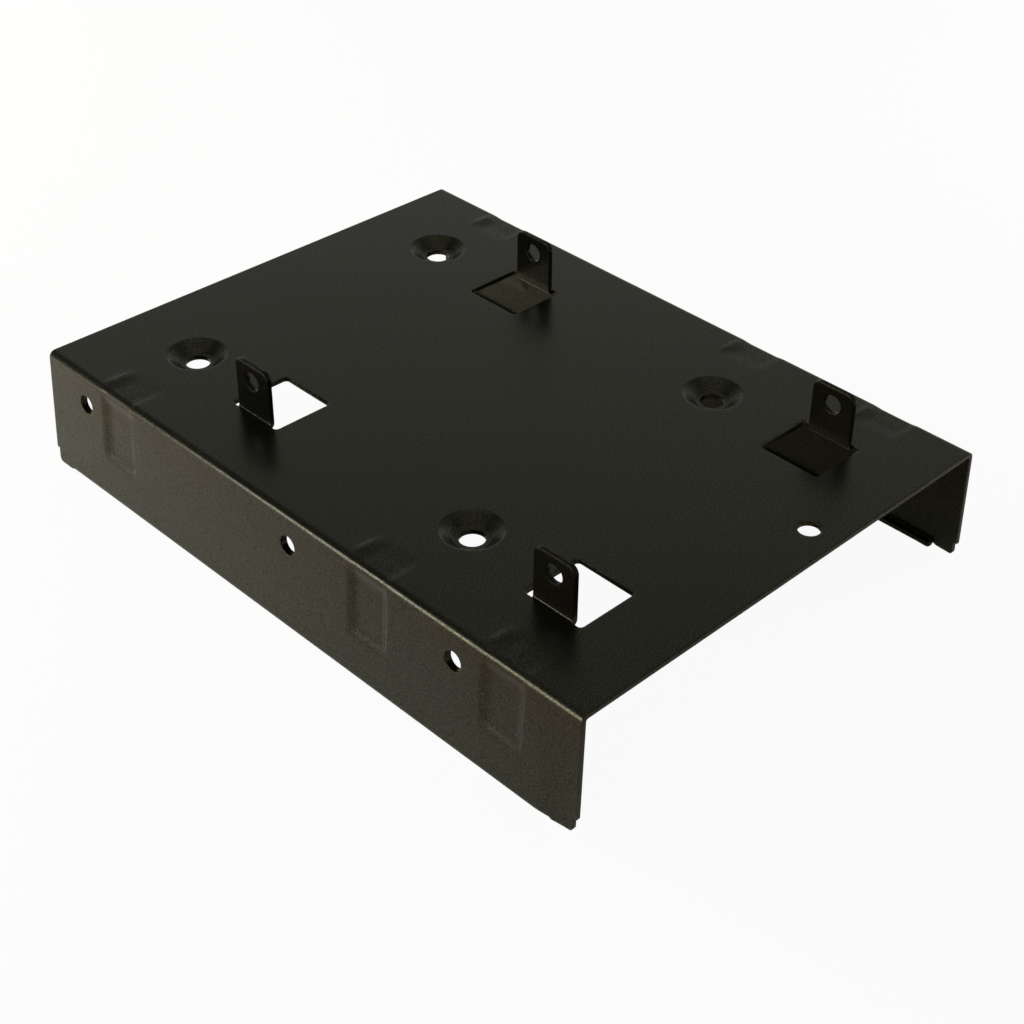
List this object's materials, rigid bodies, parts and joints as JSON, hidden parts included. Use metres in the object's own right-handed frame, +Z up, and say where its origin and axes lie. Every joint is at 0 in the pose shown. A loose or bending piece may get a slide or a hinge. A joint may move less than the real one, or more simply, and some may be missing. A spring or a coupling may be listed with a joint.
{
  "type": "drive bay adapter bracket",
  "caption": "Folded sheet steel channel that carries a small drive between upturned tabs in a larger drive bay.",
  "frame": {"origin": "centre of the footprint, on the plane of the bottom lips", "axes": "+X across the bracket, towards the wall beside the off-centre hole; +Y along it, away from the connector end; +Z up from the lips to the plate"},
  "size_m": [0.1044, 0.1416, 0.0352],
  "materials": {
    "black_paint": "semi-gloss black paint on steel sheet"
  },
  "bodies": {
    "root": {"bracket": "black_paint"}
  },
  "joints": []
}
